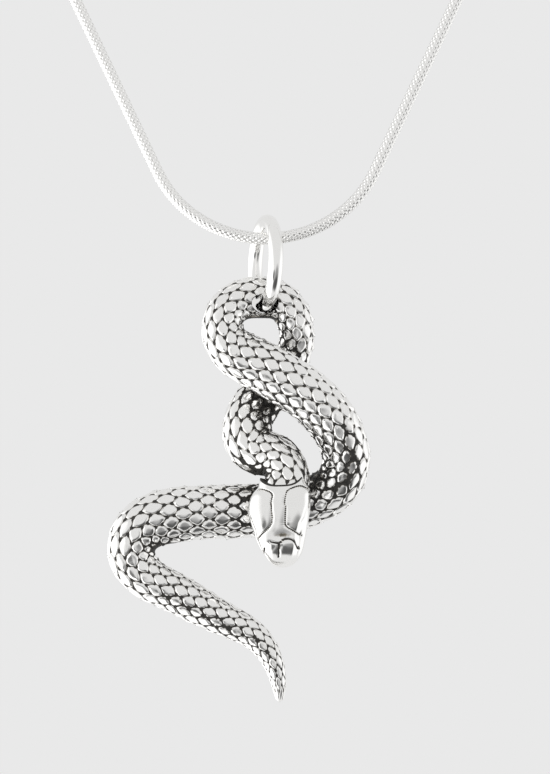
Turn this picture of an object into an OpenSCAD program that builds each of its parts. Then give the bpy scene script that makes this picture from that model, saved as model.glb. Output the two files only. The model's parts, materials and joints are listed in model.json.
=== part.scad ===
// Cast snake pendant on a jump ring and a fine snake chain, hanging as it is worn.
// Millimetres. X is to the viewer's right, Y away from the viewer, Z up.
// The origin is the middle of the nape, at the centre of the clasp.

/* [Chain] */
// Length of the closed necklace along its middle line, clasp included
necklace_length = 457; // [406:1:610]
// Outside diameter of the snake chain
chain_d = 1.25; // [0.9:0.05:2]
// Radius of the chain's bend under the jump ring, laid flat
drop_bend_r = 12; // [8:0.5:16]
// Angle of each strand above the bend, from the middle line, laid flat
strand_angle = 24.8; // [15:0.1:35]
// Slope of the chain on the chest, degrees from level
chest_slope = 75; // [60:1:85]
// Slope of the chain at the nape, degrees from level
nape_slope = 20; // [5:1:40]
// Length of the stretch that keeps the chest slope, along the middle line
chest_run = 70; // [50:5:90]
// Length of the stretch over the collar bones, where the slope changes
shoulder_run = 50; // [30:5:70]

/* [Clasp] */
// Half of the stretch at the nape that the end caps and the clasp fill
clasp_half_gap = 12; // [11:0.5:14]
// Outside diameter of the caps on the chain's ends
cap_d = 2.1; // [1.8:0.1:3]
// Length of a cap
cap_length = 3.6; // [3:0.1:5]
// Wire diameter of the loops on the caps
loop_wire_d = 0.7; // [0.5:0.05:1]
// Wire diameter of the clasp
clasp_wire_d = 0.9; // [0.7:0.05:1.2]

/* [Jump ring] */
// Outside diameter of the jump ring
ring_od = 9.8; // [8:0.1:12]
// Wire diameter of the jump ring
ring_wire_d = 1.5; // [1:0.05:2]
// Turn of the ring about the vertical: its near side stands to the right
ring_turn = 14.5; // [0:0.5:40]
// Lean of the ring's top to the right
ring_lean = 2.5; // [0:0.5:15]
// Place of the ring along the chain, to the right of the lowest point
ring_chain_x = 0.04; // [-1:0.01:1]
// Gap between the ring's inside and the top of the chain
ring_gap = 0.28; // [0.05:0.01:0.4]

/* [Snake] */
// Scales round the body
scales_round = 13; // [9:1:17]
// Length of half a scale, as a share of the body's half width
scale_pitch = 0.47; // [0.35:0.01:0.7]
// Depth of the grooves, as a share of the body's half width
groove_depth = 0.08; // [0.02:0.01:0.15]
// Half width of the tail at which the scales stop getting shorter
least_scale_width = 0.8; // [0.5:0.1:1.5]
// Squareness of the head's sections, where 1 is an ellipse
head_squareness = 0.84; // [0.6:0.01:1]
// Height of the crown plates over the lines engraved between them
plate_relief = 0.1; // [0.02:0.01:0.2]
// Clearance round the ring's wire in the bail hole
bail_clearance = 0.06; // [0.02:0.01:0.2]
// Widening of the bail hole towards its faces, per millimetre
bail_flare = 0.33; // [0.2:0.01:0.5]

/* [Hidden] */
// Middle line of the body from the collar to the tail: control points of a cubic
// B-spline, measured from the lowest point of the chain's middle line.
// Columns: x, z, y, half width across the picture, depth over width.
body_path = [
    [  2.00, -24.70, -1.75, 2.35, 0.82],  // collar, behind the head
    [  2.20, -23.85, -1.35, 2.30, 0.84],
    [  1.90, -22.70, -0.85, 2.30, 0.86],
    [  0.95, -21.70, -0.25, 2.30, 0.87],
    [ -0.15, -21.45,  0.10, 2.40, 0.86],  // neck, bottom of the small lobe
    [ -1.35, -21.05,  0.40, 2.65, 0.82],
    [ -1.85, -20.00,  0.65, 2.65, 0.80],
    [ -1.90, -18.85,  0.95, 2.60, 0.79],  // left of the lobe
    [ -1.75, -17.80,  1.35, 2.50, 0.78],
    [ -1.20, -16.90,  1.80, 2.50, 0.76],
    [ -0.40, -16.00,  2.25, 2.45, 0.73],
    [  0.45, -15.00,  2.65, 2.35, 0.70],
    [  1.30, -13.80,  2.80, 2.10, 0.75],  // behind the wide band
    [  2.15, -12.55,  2.45, 1.90, 0.82],
    [  2.95, -11.20,  1.75, 1.80, 0.90],
    [  3.20,  -9.65,  1.15, 1.80, 0.95],  // right side of the top loop
    [  2.90,  -8.10,  0.75, 1.85, 0.92],
    [  2.20,  -6.75,  0.45, 1.95, 0.86],
    [  0.85,  -5.95,  0.25, 2.15, 0.77],
    [ -0.55,  -5.90,  0.15, 2.20, 0.69],  // top of the loop, flattened for the bail hole
    [ -1.95,  -5.95, -0.15, 2.15, 0.77],
    [ -3.30,  -6.50, -0.45, 2.10, 0.86],
    [ -4.20,  -7.55, -0.75, 2.10, 0.92],
    [ -4.40,  -8.85, -0.95, 2.15, 0.92],  // left side of the top loop
    [ -4.15, -10.25, -1.10, 2.35, 0.92],
    [ -3.05, -11.45, -1.25, 2.50, 0.90],
    [ -1.70, -12.20, -1.35, 2.65, 0.86],
    [ -0.15, -12.90, -1.40, 2.65, 0.83],  // wide band across the front
    [  1.40, -13.85, -1.40, 2.70, 0.82],
    [  2.90, -14.80, -1.35, 2.70, 0.83],
    [  4.35, -15.80, -1.10, 2.70, 0.86],
    [  5.75, -17.10, -0.65, 2.70, 0.95],
    [  6.90, -18.60, -0.15, 2.65, 1.00],
    [  7.80, -20.35,  0.35, 2.55, 1.00],
    [  8.15, -22.10,  0.95, 2.50, 1.00],  // right of the large bend
    [  7.80, -23.85,  1.35, 2.50, 1.00],
    [  6.75, -25.20,  1.70, 2.50, 1.00],
    [  5.15, -26.15,  2.00, 2.55, 0.82],
    [  3.30, -26.70,  2.05, 2.65, 0.80],
    [  1.40, -27.05,  2.00, 2.70, 0.80],  // behind the head
    [ -0.60, -27.20,  1.85, 2.75, 0.80],
    [ -2.60, -27.35,  1.45, 2.80, 0.80],
    [ -4.60, -27.35,  1.05, 2.80, 0.78],
    [ -6.65, -27.40,  0.70, 2.80, 0.77],
    [ -8.50, -27.55,  0.40, 2.85, 0.74],
    [-10.40, -27.85,  0.15, 2.85, 0.74],
    [-12.10, -28.50,  0.00, 2.75, 0.74],
    [-13.30, -29.80, -0.15, 2.65, 0.74],
    [-13.60, -31.50, -0.10, 2.50, 0.74],  // left bend
    [-12.95, -33.05, -0.10, 2.35, 0.74],
    [-11.65, -34.25, -0.05, 2.20, 0.74],
    [ -9.70, -35.10,  0.00, 2.10, 0.74],
    [ -8.00, -36.05,  0.00, 2.05, 0.80],
    [ -6.30, -37.00,  0.00, 1.95, 0.80],
    [ -4.60, -37.90,  0.00, 1.80, 0.88],
    [ -2.90, -38.65, -0.05, 1.68, 0.88],
    [ -1.40, -39.45, -0.10, 1.52, 0.88],
    [ -0.22, -40.60, -0.15, 1.35, 0.90],
    [  0.62, -42.05, -0.20, 1.15, 0.92],
    [  1.12, -43.50, -0.20, 0.95, 0.95],
    [  1.35, -45.00, -0.20, 0.75, 1.00],
    [  1.35, -46.15, -0.20, 0.40, 1.00],  // tip of the tail
];
// Sections of the head from the snout up to the collar.
// Columns: z, x, y, half width, half depth, share of the crown plates' relief.
head_sections = [
    [-32.85, 1.60, -2.35, 0.35, 0.35, 0.0],
    [-32.60, 1.58, -2.35, 0.80, 0.68, 0.0],
    [-32.20, 1.56, -2.35, 1.20, 0.92, 0.0],
    [-31.60, 1.54, -2.35, 1.65, 1.15, 0.0],
    [-30.90, 1.50, -2.37, 2.05, 1.35, 0.0],
    [-30.00, 1.45, -2.38, 2.38, 1.50, 0.0],
    [-29.10, 1.38, -2.40, 2.65, 1.64, 0.4],
    [-28.30, 1.30, -2.40, 2.90, 1.74, 1.0],
    [-27.50, 1.28, -2.40, 3.15, 1.82, 1.0],
    [-26.80, 1.32, -2.38, 3.20, 1.86, 1.0],
    [-26.00, 1.42, -2.33, 3.08, 1.88, 1.0],
    [-25.30, 1.60, -2.22, 2.88, 1.90, 0.6],
    [-24.85, 1.85, -2.05, 2.60, 1.92, 0.0],
];
// Relief across the crown, by column from the middle: ridge, line, plate, plate, line.
crown_profile = [0.4, -0.6, 0.6, 0.3, -0.5];

body_end = len(body_path) - 1;
columns = 2 * scales_round;
chain_r = chain_d / 2;
ring_wire_r = ring_wire_d / 2;
ring_r = ring_od / 2 - ring_wire_r;

// Flat outline of half the necklace: bend, straight strand, arc round the nape.
half_length = necklace_length / 2;
bend_turn = 90 - strand_angle;
nape_turn = 90 + strand_angle;
bend_length = drop_bend_r * bend_turn * PI / 180;
bend_x = drop_bend_r * sin(bend_turn);
bend_q = drop_bend_r * (1 - cos(bend_turn));
nape_r = (half_length - bend_length + bend_x / sin(strand_angle))
    / (nape_turn * PI / 180 + cos(strand_angle) / sin(strand_angle));
strand_length = (nape_r * cos(strand_angle) - bend_x) / sin(strand_angle);
nape_q = bend_q + strand_length * cos(strand_angle) + nape_r * (1 + sin(strand_angle));
shoulder_r = shoulder_run / ((chest_slope - nape_slope) * PI / 180);

// Place of a point on the flat outline, by length from the lowest point.
function flat_point(l) =
    l < bend_length
        ? let (a = l / drop_bend_r * 180 / PI)
            [drop_bend_r * sin(a), drop_bend_r * (1 - cos(a))]
    : l < bend_length + strand_length
        ? let (m = l - bend_length)
            [bend_x + m * sin(strand_angle), bend_q + m * cos(strand_angle)]
    : let (a = (half_length - l) / nape_r * 180 / PI)
            [nape_r * sin(a), nape_q - nape_r * (1 - cos(a))];

// Side view of the worn chain: how far back and up a height q of the flat outline goes.
chest_end = chest_run * [cos(chest_slope), sin(chest_slope)];
shoulder_end = chest_end
    + shoulder_r * [sin(chest_slope) - sin(nape_slope), cos(nape_slope) - cos(chest_slope)];
function slope_at(q) =
    q < chest_run ? chest_slope
    : q < chest_run + shoulder_run
        ? chest_slope - (q - chest_run) / shoulder_r * 180 / PI
    : nape_slope;
function worn_side(q) =
    let (a = slope_at(q))
    q < chest_run
        ? q * [cos(a), sin(a)]
    : q < chest_run + shoulder_run
        ? chest_end + shoulder_r * [sin(chest_slope) - sin(a), cos(a) - cos(chest_slope)]
    : shoulder_end + (q - chest_run - shoulder_run) * [cos(a), sin(a)];

nape_side = worn_side(nape_q);
drop_point = [0, -nape_side[0], -nape_side[1]];

// Middle line of the chain in space; l is negative on the left strand.
function chain_point(l) =
    let (f = flat_point(abs(l)), s = worn_side(f[1]))
    drop_point + [sign(l) * f[0], s[0], s[1]];

function unit(v) = v / norm(v);

// Directions of a sweep that stays square to a reference direction.
function side_of(along, reference) = unit(cross(along, reference));

// Closed skin over rings of points, with a point at each end. Each square between two
// rings is split along the diagonal that joins its lower corners on a scaled body.
function ring_faces(rings, n) =
    let (first_tip = rings * n, last_tip = rings * n + 1)
    concat(
        [for (i = [0:rings - 2], j = [0:n - 1], part = [0, 1])
            let (
                a = i * n + j,
                b = i * n + (j + 1) % n,
                c = (i + 1) * n + (j + 1) % n,
                d = (i + 1) * n + j
            )
            (i + j) % 2 == 0
                ? (part == 0 ? [a, b, d] : [b, c, d])
                : (part == 0 ? [a, b, c] : [a, c, d])],
        [for (j = [0:n - 1]) [first_tip, (j + 1) % n, j]],
        [for (j = [0:n - 1]) [last_tip, (rings - 1) * n + j, (rings - 1) * n + (j + 1) % n]]
    );

module swept_skin(rows, first_tip, last_tip) {
    polyhedron(
        points = concat([for (row = rows, p = row) p], [first_tip, last_tip]),
        faces = ring_faces(len(rows), len(rows[0])),
        convexity = 10
    );
}

chain_sides = 8;
chain_rings = 78;
chain_end_l = half_length - clasp_half_gap;
// Half of the stretch over which a direction along the chain is measured.
chain_probe = 0.05;
// Rings crowd towards the bend under the pendant.
ring_spread = 1.6;
function chain_station(i) =
    let (u = 2 * i / (chain_rings - 1) - 1)
    sign(u) * pow(abs(u), ring_spread) * chain_end_l;

function chain_row(l) =
    let (
        p = chain_point(l),
        a = slope_at(flat_point(abs(l))[1]),
        along = unit(chain_point(l + chain_probe) - chain_point(l - chain_probe)),
        across = side_of(along, [0, -sin(a), cos(a)]),
        up = cross(across, along)
    )
    [for (j = [0:chain_sides - 1])
        let (turn = (j + 0.5) * 360 / chain_sides)
        p + chain_r / cos(180 / chain_sides) * (across * cos(turn) + up * sin(turn))];

module chain() {
    color("silver")
        swept_skin(
            [for (i = [0:chain_rings - 1]) chain_row(chain_station(i))],
            chain_point(-chain_end_l),
            chain_point(chain_end_l)
        );
}

// Round wire bent to a full ring round the Z axis.
module wire_ring(middle_r, wire_r) {
    rotate_extrude($fn = 48)
        translate([middle_r, 0])
            circle(r = wire_r, $fn = 24);
}

// Flat frame at the nape: X to the right, Y up the neck, Z square to both.
module at_nape() {
    rotate([nape_slope, 0, 0])
        children();
}

// Where the chain's right end comes in, and its turn from the X axis.
chain_end_turn = clasp_half_gap / nape_r * 180 / PI;
chain_end_x = nape_r * sin(chain_end_turn);
chain_end_y = -nape_r * (1 - cos(chain_end_turn));
loop_wire_r = loop_wire_d / 2;
loop_r = 1.2;
// The loop's middle sits past the cap's end, its wire sunk a little in the cap's metal.
loop_sink = 0.1;
loop_reach = cap_length + loop_r - loop_sink;
// Tapered nose of a cap, and the air between its face and the chain's cut end.
cap_nose = 0.5;
cap_nose_d = 0.55 * cap_d;
cap_air = 0.02;
loop_x = chain_end_x - loop_reach * cos(chain_end_turn);
loop_y = chain_end_y + loop_reach * sin(chain_end_turn);
// Air between two links that hang in each other.
link_air = 0.08;

// Crimped cap on one end of the chain with its loop; right-hand side as drawn.
// The cap starts a hair past the chain's cut end.
module end_cap(loop_turn) {
    translate([chain_end_x, chain_end_y, 0])
        rotate([0, 0, 180 - chain_end_turn]) {
            translate([cap_air, 0, 0])
                rotate([0, 90, 0]) {
                    cylinder(d = cap_d, h = cap_length - cap_nose, $fn = 32);
                    translate([0, 0, cap_length - cap_nose])
                        cylinder(d1 = cap_d, d2 = cap_nose_d, h = cap_nose, $fn = 32);
                }
            translate([loop_reach, 0, 0])
                rotate([loop_turn, 0, 0])
                    wire_ring(loop_r, loop_wire_r);
        }
}

module chain_end_right() {
    color("silver")
        at_nape()
            end_cap(90);
}

module chain_end_left() {
    color("silver")
        at_nape()
            mirror([1, 0, 0])
                end_cap(0);
}

clasp_wire_r = clasp_wire_d / 2;
clasp_ring_r = 1.9;
clasp_ring_wire_r = 0.4;
clasp_eye_r = 1.2;
clasp_ring_x = -loop_x + loop_r + clasp_ring_r - loop_wire_r - clasp_ring_wire_r - link_air;
clasp_eye_x = clasp_ring_x + clasp_ring_r + clasp_eye_r - clasp_ring_wire_r - clasp_wire_r
    - link_air;
clasp_tip_x = loop_x - loop_r + loop_wire_r + clasp_wire_r + link_air;
clasp_half_width = 2;
// A short neck joins the eye to the clasp's body.
clasp_neck = 1.2;
clasp_neck_r = 0.8 * clasp_wire_r;
// Thumb piece on the clasp's side: place past the heel, size at its foot and top, length.
thumb_x = 1;
thumb_foot_d = 0.8;
thumb_top_d = 0.6;
thumb_length = 1.1;
clasp_heel_x = clasp_eye_x + clasp_eye_r + clasp_neck;

module clasp_ring() {
    color("silver")
        at_nape()
            translate([clasp_ring_x, loop_y, 0])
                rotate([90, 0, 0])
                    wire_ring(clasp_ring_r, clasp_ring_wire_r);
}

// Closed hook of round wire with an eye at one end and a thumb piece on its side.
module clasp() {
    heel = clasp_heel_x + clasp_half_width;
    tip = clasp_tip_x - clasp_half_width;
    color("silver")
        at_nape()
            translate([0, loop_y, 0]) {
                translate([clasp_eye_x, 0, 0])
                    wire_ring(clasp_eye_r, clasp_wire_r);
                translate([clasp_eye_x + clasp_eye_r, 0, 0])
                    rotate([0, 90, 0])
                        cylinder(r = clasp_neck_r, h = clasp_neck, $fn = 24);
                translate([heel, 0, 0])
                    rotate([0, 0, 90])
                        half_bow();
                translate([tip, 0, 0])
                    rotate([0, 0, -90])
                        half_bow();
                for (side = [-1, 1])
                    translate([heel, side * clasp_half_width, 0])
                        rotate([0, 90, 0])
                            cylinder(r = clasp_wire_r, h = tip - heel, $fn = 24);
                translate([heel + thumb_x, clasp_half_width, 0])
                    rotate([-90, 0, 0])
                        cylinder(d1 = thumb_foot_d, d2 = thumb_top_d, h = thumb_length, $fn = 24);
            }
}

// Half a turn of the clasp's wire, from +X over +Y to -X.
module half_bow() {
    rotate_extrude(angle = 180, $fn = 48)
        translate([clasp_half_width, 0])
            circle(r = clasp_wire_r, $fn = 24);
}

// Place of the jump ring: it hangs from the chain's lowest point.
ring_top_z = chain_r + ring_gap + ring_wire_r;
ring_middle = drop_point + [
    ring_chain_x - (ring_r - ring_top_z) * sin(ring_lean),
    0,
    ring_top_z - ring_r * cos(ring_lean)
];
// Where the ring's wire passes through the snake's bail hole, and which way it runs there.
bail_point = ring_middle - ring_r * [sin(ring_lean), 0, cos(ring_lean)];

module in_ring_frame() {
    rotate([0, ring_lean, 0])
        rotate([0, 0, ring_turn])
            children();
}

module jump_ring() {
    color("silver")
        translate(ring_middle)
            in_ring_frame()
                rotate([0, 90, 0])
                    rotate_extrude($fn = 96)
                        translate([ring_r, 0])
                            circle(r = ring_wire_r, $fn = 32);
}

// Cubic B-spline over the body's control points; t runs from 0 to body_end.
function control(k) =
    k < 0 ? 2 * body_path[0] - body_path[1]
    : k > body_end ? 2 * body_path[body_end] - body_path[body_end - 1]
    : body_path[k];
function body_at(t) =
    let (k = min(floor(t), body_end - 1), f = t - k)
    (pow(1 - f, 3) * control(k - 1)
        + (3 * pow(f, 3) - 6 * pow(f, 2) + 4) * control(k)
        + (-3 * pow(f, 3) + 3 * pow(f, 2) + 3 * f + 1) * control(k + 1)
        + pow(f, 3) * control(k + 2)) / 6;
function body_point(t) =
    let (c = body_at(t))
    drop_point + [c[0], c[2], c[1]];
// Travel of the middle line from just before t to just after it.
body_probe = 0.01;
function body_travel(t) = body_point(t + body_probe) - body_point(t - body_probe);
function body_speed(t) = norm(body_travel(t)) / (2 * body_probe);

// Rows of scales get shorter with the body, down to a least length on the tail.
function row_step(t) =
    scale_pitch * max(body_at(t)[3], least_scale_width) / body_speed(t);
// The last row closes the tail when less than this share of a row is left.
last_row_share = 0.6;
function row_stations(t) =
    t > body_end - last_row_share * row_step(t)
        ? [body_end]
    : concat([t], row_stations(t + row_step(t)));

// One row across the body: crowns and grooves in turn, so two rows make diamonds.
function body_row(t, i) =
    let (
        c = body_at(t),
        along = unit(body_travel(t)),
        across = side_of(along, [0, 1, 0]),
        back = cross(across, along)
    )
    [for (j = [0:columns - 1])
        let (
            turn = j * 360 / columns,
            reach = (i + j) % 2 == 0 ? 1 : 1 - groove_depth
        )
        body_point(t) + reach * c[3] * (across * cos(turn) + back * c[4] * sin(turn))];

function squared(v) = sign(v) * pow(abs(v), head_squareness);

// Height over the head's plain surface, by column; the crown faces the viewer.
function crown_relief(j) =
    let (from_middle = floor(abs(j + 0.5 - 0.75 * columns)))
    from_middle < len(crown_profile) ? crown_profile[from_middle] * plate_relief : 0;

function head_row(h) =
    [for (j = [0:columns - 1])
        let (turn = j * 360 / columns, lift = h[5] * crown_relief(j))
        drop_point + [
            h[1] - (h[3] + lift) * squared(cos(turn)),
            h[2] + (h[4] + lift) * squared(sin(turn)),
            h[0]
        ]];

// The scaled rows start this far behind the collar, and the two ends close on a point.
first_row_t = 0.35;
snout_tip = 0.05;
tail_tip_t = 0.25;

module snake_skin() {
    stations = row_stations(first_row_t);
    first = head_sections[0];
    swept_skin(
        concat(
            [for (h = head_sections) head_row(h)],
            [for (i = [0:len(stations) - 1]) body_row(stations[i], i)]
        ),
        drop_point + [first[1], first[2], first[0] - snout_tip],
        body_point(body_end + tail_tip_t)
    );
}

// The wire bends through the hole, so the hole widens towards both faces.
bail_reach = 2.4;
bail_waist_r = ring_wire_r + bail_clearance;
bail_mouth_r = bail_waist_r + bail_flare * bail_reach;

module bail_hole() {
    translate(bail_point)
        in_ring_frame()
            for (way = [-90, 90])
                rotate([way, 0, 0])
                    cylinder(r1 = bail_waist_r, r2 = bail_mouth_r, h = bail_reach, $fn = 32);
}

module snake() {
    color("silver")
        difference() {
            snake_skin();
            bail_hole();
        }
}

chain();
chain_end_left();
chain_end_right();
clasp();
clasp_ring();
jump_ring();
snake();
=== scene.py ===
# %% [markdown]
# # A cast snake pendant on a snake chain
# The pendant is one casting: a snake that loops over itself, with its head hanging down and
# its tail trailing below. A round jump ring passes through a hole in its top loop and hangs
# on a fine snake chain. The whole necklace hangs as it is worn, from the middle of the nape.
# The solids come from the CAD model. This script gives them their scales, their engraving,
# their links and their finish, in the same places and in metres.

# %% Load the solids that everything here is fitted to
import json
import random
from math import atan2, copysign, cos, exp, floor, pi, radians, sin

import bmesh
import bpy
import numpy as np
from mathutils import Matrix, Vector
from mathutils.bvhtree import BVHTree

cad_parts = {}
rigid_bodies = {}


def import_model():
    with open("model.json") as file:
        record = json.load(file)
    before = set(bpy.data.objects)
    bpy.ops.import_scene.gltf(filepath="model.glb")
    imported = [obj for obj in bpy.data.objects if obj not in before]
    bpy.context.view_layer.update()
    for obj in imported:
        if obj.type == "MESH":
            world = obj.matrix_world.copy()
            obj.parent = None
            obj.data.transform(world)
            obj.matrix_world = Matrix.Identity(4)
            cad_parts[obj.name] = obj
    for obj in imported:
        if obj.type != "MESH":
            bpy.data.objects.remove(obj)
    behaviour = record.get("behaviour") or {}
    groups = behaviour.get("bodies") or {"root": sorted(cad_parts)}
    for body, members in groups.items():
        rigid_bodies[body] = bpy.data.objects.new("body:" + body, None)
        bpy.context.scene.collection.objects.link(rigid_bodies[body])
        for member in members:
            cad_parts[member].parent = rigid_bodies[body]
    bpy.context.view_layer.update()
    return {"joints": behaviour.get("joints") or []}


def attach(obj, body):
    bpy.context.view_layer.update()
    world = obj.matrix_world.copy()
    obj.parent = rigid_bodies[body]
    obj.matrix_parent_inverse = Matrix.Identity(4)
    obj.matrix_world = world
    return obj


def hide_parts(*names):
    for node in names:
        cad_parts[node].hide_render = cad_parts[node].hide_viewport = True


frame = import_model()

# %% [markdown]
# ## Where things are
# Two hinges carry the pendant, and their places fix everything else. The ring swings about
# the lowest point of the chain's middle line, and the snake rocks about the ring's wire where
# the wire passes through its hole. The sizes of the path below are in millimetres, as a maker
# would give them, so one value turns them into metres.

# %% Read the two hinges
MM = 0.001
hinges = {joint["name"]: joint for joint in frame["joints"]}
CHAIN_LOW = Vector(hinges["ring_swing"]["pos_m"])
BAIL = Vector(hinges["pendant_rock"]["pos_m"])
WIRE_RUN = Vector(hinges["pendant_rock"]["axis"]).normalized()
print("chain's lowest point, mm:", [round(c / MM, 2) for c in CHAIN_LOW])

# %% [markdown]
# ## Small helpers
# Every piece is made in a bmesh and then becomes an object at the origin, with its place in
# its mesh. One helper does that, gives the piece its material and tells the frame which body
# carries it and which solid it stands for.

# %% Helpers for objects and finished pieces
def add_object(name, data):
    thing = bpy.data.objects.new(name, data)
    bpy.context.scene.collection.objects.link(thing)
    return thing


def mesh_from(name, shape):
    mesh = bpy.data.meshes.new(name)
    shape.to_mesh(mesh)
    shape.free()
    return mesh


def check_skin(name, shape):
    """Turn the faces outwards, and print how many edges are open."""
    bmesh.ops.recalc_face_normals(shape, faces=shape.faces)
    print("open edges on the", name + ":", sum(edge.is_boundary for edge in shape.edges))


def make_piece(name, shape, material, body, node):
    mesh = mesh_from(name, shape)
    mesh.shade_smooth()
    mesh.materials.append(material)
    piece = add_object(name, mesh)
    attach(piece, body)
    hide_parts(node)
    print(name, "faces:", len(mesh.polygons))
    return piece


def subdivide(piece, levels):
    smoothing = piece.modifiers.new("smooth casting", "SUBSURF")
    smoothing.levels = levels
    smoothing.render_levels = levels


def smoothstep(low, high, value):
    """0 below low, 1 above high, with a soft change between them."""
    share = np.clip((value - low) / (high - low), 0.0, 1.0)
    return share * share * (3 - 2 * share)


# %% [markdown]
# ## Camera
# The photograph looks straight at the pendant and cuts the chain off at its upper corners.
# A long lens at some distance keeps the coils free of perspective, as a product photographer
# would do. The field is 77.4 mm high at the pendant.

# %% Camera
VIEW_HEIGHT = 77.4 * MM
VIEW_DISTANCE = 0.4
VIEW_RIGHT = 0.9 * MM
VIEW_DROP = 14.85 * MM
SENSOR_WIDTH = 36
NEAREST = 0.01

lens = bpy.data.cameras.new("camera")
lens.sensor_width = SENSOR_WIDTH
lens.lens = SENSOR_WIDTH * VIEW_DISTANCE / VIEW_HEIGHT
lens.clip_start = NEAREST
camera = add_object("camera", lens)
camera.location = CHAIN_LOW + Vector((VIEW_RIGHT, -VIEW_DISTANCE, -VIEW_DROP))
camera.rotation_euler = (radians(90), 0, 0)
bpy.context.scene.camera = camera
print("lens, mm:", round(lens.lens, 1))

# %% [markdown]
# ## Finishes
# All of the metal is silver. The casting was dipped to blacken it and then polished, so the
# black stays in the grooves between the scales and wherever the mop couldn't reach. In the
# closed places between the coils that black is also painted shade, and at listed places painted
# shade, painted dark reflections and painted light are added. The ring and the chain are bright,
# but the gaps between the chain's beads are darkened as painted shade. Two effects are shared,
# so they are node groups: the fine marks that polishing leaves, and the black of the recesses,
# which is patina and painted shade.

# %% Helpers for shader nodes
NODE_STEP = 180


def set_inputs(tree, node, inputs):
    """Give a node's inputs a value each, or the output of another node."""
    for label, value in inputs.items():
        if isinstance(value, bpy.types.NodeSocket):
            tree.links.new(value, node.inputs[label])
        else:
            node.inputs[label].default_value = value


def add_node(tree, kind, inputs=None, **settings):
    """New node to the right of the others."""
    node = tree.nodes.new(kind)
    node.location.x = NODE_STEP * len(tree.nodes)
    for key, value in settings.items():
        setattr(node, key, value)
    set_inputs(tree, node, inputs or {})
    return node


def new_group(name, inputs, outputs):
    """Group with a vector input, number inputs with their values, and number outputs."""
    group = bpy.data.node_groups.new(name, "ShaderNodeTree")
    group.interface.new_socket("Vector", in_out="INPUT", socket_type="NodeSocketVector")
    for label, value in inputs.items():
        socket = group.interface.new_socket(label, in_out="INPUT", socket_type="NodeSocketFloat")
        socket.default_value = value
    for label in outputs:
        group.interface.new_socket(label, in_out="OUTPUT", socket_type="NodeSocketFloat")
    return group, add_node(group, "NodeGroupInput").outputs, add_node(group, "NodeGroupOutput")


# %% Polishing marks: a roughness and a height that vary over the metal
CLOUD_RANGE = (0.35, 0.65)
CLOUD_DETAIL = 4
HAIR_DETAIL = 3
# The mop's fine scratches run one way, so their noise is turned and drawn out.
HAIR_TURN = (0.3, 0.7, 0.5)
HAIR_STRETCH = (1, 9, 1)


def polishing_marks():
    group, start, end = new_group(
        "polishing marks", {"Grain": 4000.0, "Smoothest": 0.1, "Roughest": 0.25},
        ("Roughness", "Height"))
    cloud = add_node(group, "ShaderNodeTexNoise", {
        "Vector": start["Vector"], "Scale": start["Grain"], "Detail": CLOUD_DETAIL})
    blur = add_node(group, "ShaderNodeMapRange", {
        "Value": cloud.outputs["Fac"], "From Min": CLOUD_RANGE[0], "From Max": CLOUD_RANGE[1],
        "To Min": start["Smoothest"], "To Max": start["Roughest"]})
    stretch = add_node(group, "ShaderNodeMapping", {
        "Vector": start["Vector"], "Rotation": HAIR_TURN, "Scale": HAIR_STRETCH})
    hair = add_node(group, "ShaderNodeTexNoise", {
        "Vector": stretch.outputs["Vector"], "Scale": start["Grain"], "Detail": HAIR_DETAIL})
    set_inputs(group, end, {"Roughness": blur.outputs["Result"], "Height": hair.outputs["Fac"]})
    return group


# %% Patina and painted shade: where the black is left, and where shade is painted
OPEN_ENOUGH = 0.85
HIGHEST_LEVEL = 0.82
MEAN_CORNER = 0.33
# Noise that makes the black's edge ragged: scale and strength.
RAGGED_EDGES = [(2600, 0.3), (420, 0.35)]


def patina_and_shade_group():
    """Black below a level of the relief; the level is higher in closed places, as patina that
    polishing can't reach and as painted shade.

    Corner is 1 or -1 where three grooves meet and 0 halfway between, so its square keeps
    the black in the corners longer than in the grooves between them. Kept raises the level
    at listed places, or lowers it where it is negative.
    """
    group, start, end = new_group(
        "patina and painted shade",
        {"Relief": 1.0, "Reach": 1.0, "Corner": 0.0, "Kept": 0.0, "Level": 0.25, "Shelter": 0.9,
         "Corner Rise": 0.0, "Softness": 0.12},
        ("Black",))

    def combine(operation, first, second):
        node = add_node(group, "ShaderNodeMath", {0: first, 1: second}, operation=operation)
        return node.outputs[0]

    # Closed places raise the level: patina the mop missed, and painted shade.
    hidden = combine("MAXIMUM", combine("SUBTRACT", OPEN_ENOUGH, start["Reach"]), 0.0)
    raised = combine("MULTIPLY", hidden, start["Shelter"])
    level = combine("MINIMUM", combine("ADD", raised, start["Level"]), HIGHEST_LEVEL)
    square = combine("MULTIPLY", start["Corner"], start["Corner"])
    corner = combine("SUBTRACT", square, MEAN_CORNER)
    level = combine("ADD", level, combine("MULTIPLY", corner, start["Corner Rise"]))
    # Kept adds painted shade and painted dark reflections, or painted light where it is negative.
    level = combine("ADD", level, start["Kept"])
    for scale, strength in RAGGED_EDGES:
        cloud = add_node(group, "ShaderNodeTexNoise", {
            "Vector": start["Vector"], "Scale": scale, "Detail": CLOUD_DETAIL})
        centred = combine("SUBTRACT", cloud.outputs["Fac"], 0.5)
        level = combine("ADD", level, combine("MULTIPLY", centred, strength))
    mask = add_node(group, "ShaderNodeMapRange", {
        "Value": combine("SUBTRACT", level, start["Relief"]),
        "From Min": combine("MULTIPLY", start["Softness"], -1.0),
        "From Max": start["Softness"]}, interpolation_type="SMOOTHSTEP")
    set_inputs(group, end, {"Black": mask.outputs["Result"]})
    return group


MARKS = polishing_marks()
PATINA_AND_SHADE = patina_and_shade_group()

# %% One silver material, with or without the black
SILVER = (0.93, 0.925, 0.91)
SULPHIDE = (0.030, 0.028, 0.025)
TARNISH = (0.30, 0.27, 0.22)
# How much of the black shows as brown tarnish, before it turns to full black.
THIN_DIP = 0.55
BUMP_STRENGTH = 0.25
BLACK_ROUGHNESS = 0.55
BLACK_METALLIC = 0.25


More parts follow.
